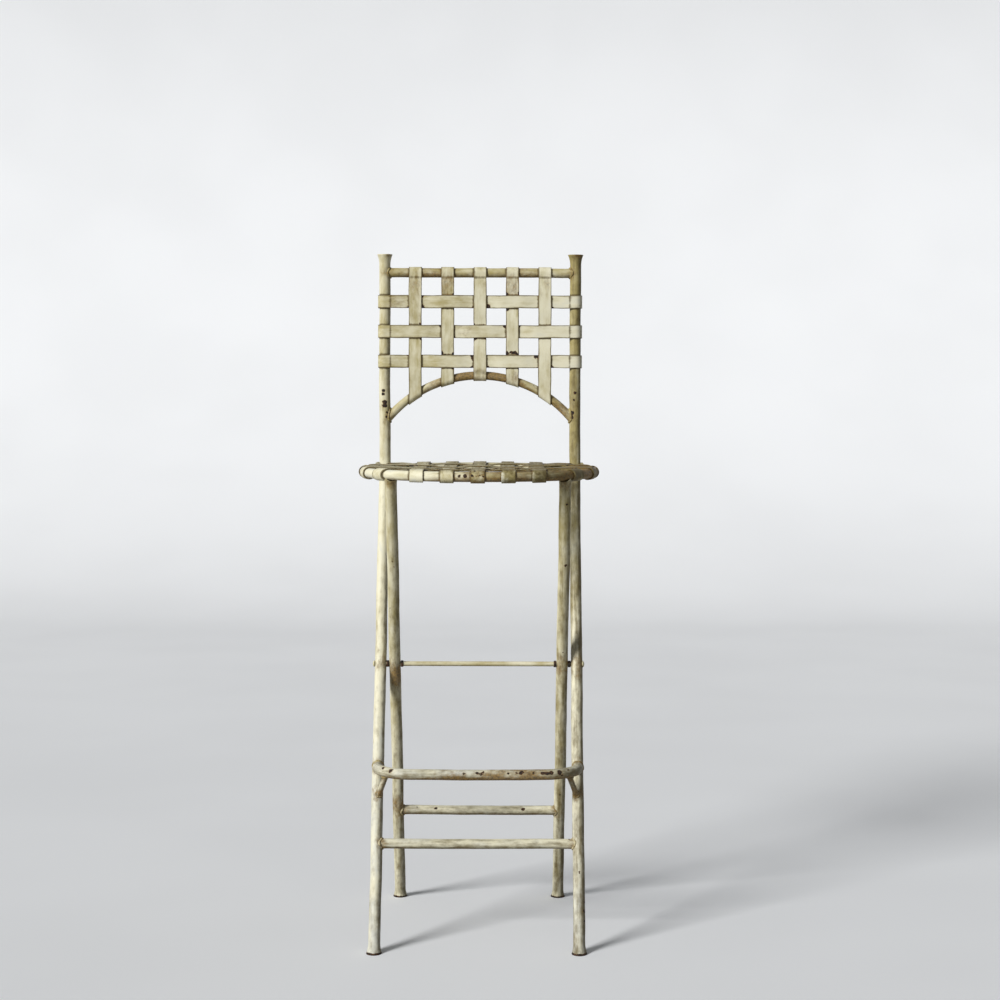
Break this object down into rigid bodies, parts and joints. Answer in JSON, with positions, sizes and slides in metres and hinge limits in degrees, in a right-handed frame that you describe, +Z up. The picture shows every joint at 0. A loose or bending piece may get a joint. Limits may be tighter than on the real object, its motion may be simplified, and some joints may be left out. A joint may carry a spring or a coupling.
{
  "type": "folding bar chair",
  "caption": "Tall folding iron bar chair with crossed tube legs, a round seat and a back woven from flat straps, and a bowed footrest, in stained, peeling cream paint.",
  "frame": {"origin": "on the floor, below the middle of the seat", "axes": "+Z up, -Y towards the front of the chair, +X to the right as the front is seen from before it"},
  "size_m": [0.3936, 0.3938, 1.116],
  "materials": {
    "cream_paint": "old cream paint, yellowed, chipped and rust-stained",
    "strap_paint": "old cream paint with brown stains at the crossings",
    "bare_iron": "dark, rusted and unpainted"
  },
  "bodies": {
    "back_frame": {"left_upright": "cream_paint", "right_upright": "cream_paint", "top_rail": "cream_paint", "back_arch": "cream_paint", "footrest_hoop": "cream_paint", "left_footrest_brace": "cream_paint", "right_footrest_brace": "cream_paint", "front_stretcher": "cream_paint", "pivot_rod": "bare_iron", "left_pivot_spacer": "bare_iron", "right_pivot_spacer": "bare_iron", "left_pivot_collar": "bare_iron", "right_pivot_collar": "bare_iron", "left_seat_lug": "cream_paint", "right_seat_lug": "cream_paint", "left_seat_pin": "bare_iron", "right_seat_pin": "bare_iron", "back_strap_upright_1": "strap_paint", "back_strap_upright_2": "strap_paint", "back_strap_upright_3": "strap_paint", "back_strap_upright_4": "strap_paint", "back_strap_upright_5": "strap_paint", "back_strap_cross_1": "strap_paint", "back_strap_cross_2": "strap_paint", "back_strap_cross_3": "strap_paint"},
    "rear_leg_frame": {"left_rear_leg": "cream_paint", "right_rear_leg": "cream_paint", "rear_stretcher": "cream_paint"},
    "seat": {"seat_rim": "cream_paint", "seat_strap_lengthwise_1": "strap_paint", "seat_strap_lengthwise_2": "strap_paint", "seat_strap_lengthwise_3": "strap_paint", "seat_strap_lengthwise_4": "strap_paint", "seat_strap_lengthwise_5": "strap_paint", "seat_strap_crosswise_1": "strap_paint", "seat_strap_crosswise_2": "strap_paint", "seat_strap_crosswise_3": "strap_paint", "seat_strap_crosswise_4": "strap_paint", "seat_strap_crosswise_5": "strap_paint"}
  },
  "joints": [
    {"name": "leg_fold", "type": "hinge", "parent": "back_frame", "child": "rear_leg_frame", "pos_m": [0, 0.005, 0.435], "axis": [-1, 0, 0], "range_deg": [0, 36]},
    {"name": "seat_fold", "type": "hinge", "parent": "back_frame", "child": "seat", "pos_m": [0, 0.10293, 0.753], "axis": [-1, 0, 0], "range_deg": [0, 86.4]}
  ],
  "couplings": [
    {"joint": "seat_fold", "follows": "leg_fold", "ratio": 2.4}
  ]
}
